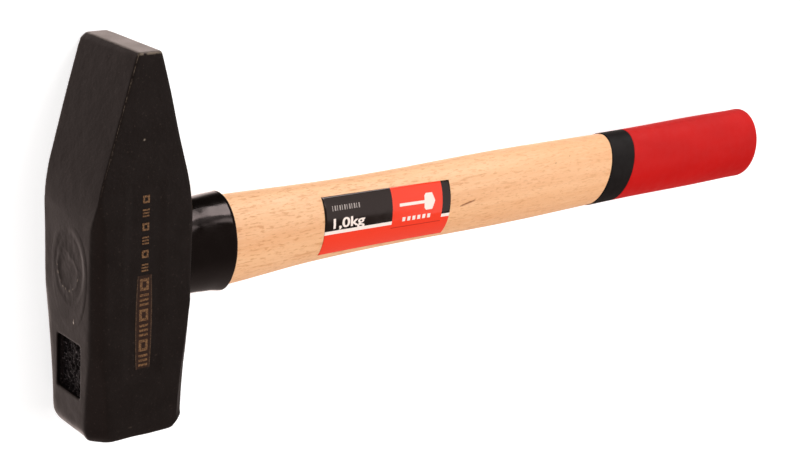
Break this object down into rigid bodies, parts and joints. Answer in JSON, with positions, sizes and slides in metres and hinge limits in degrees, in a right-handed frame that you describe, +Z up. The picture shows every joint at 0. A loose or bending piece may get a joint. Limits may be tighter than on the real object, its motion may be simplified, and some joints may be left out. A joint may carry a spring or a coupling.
{
  "type": "cross-pein hammer",
  "caption": "Engineer's cross-pein hammer: black forged steel head, oval beech handle fixed by a ring wedge, guard sleeve at the neck and a dipped red grip end.",
  "frame": {"origin": "on the plane of the lower cheek, straight under the centre of the eye, where the handle's axis passes through the head", "axes": "+X along the handle from the head to the grip end, +Y towards the pein, +Z up, from the lower cheek to the upper one, with the hammer lying flat"},
  "size_m": [0.3603, 0.1374, 0.035],
  "materials": {
    "head_steel": "thin satin black lacquer over forged steel, bare ground pein land",
    "handle_wood": "planed and clear lacquered beech",
    "wedge_wood": "raw hardwood, its crown end painted over with the head",
    "wedge_steel": "steel, painted over with the head",
    "sleeve_steel": "glossy black lacquer",
    "label_film": "printed film, semi-gloss",
    "band_paint": "black dipped lacquer, semi-gloss",
    "coat_paint": "red dipped lacquer, glossy"
  },
  "bodies": {
    "root": {"hammer_head": "head_steel", "handle": "handle_wood", "kerf_wedge": "wedge_wood", "ring_wedge": "wedge_steel", "guard_sleeve": "sleeve_steel", "handle_label": "label_film", "grip_band": "band_paint", "grip_coat": "coat_paint"}
  },
  "joints": []
}
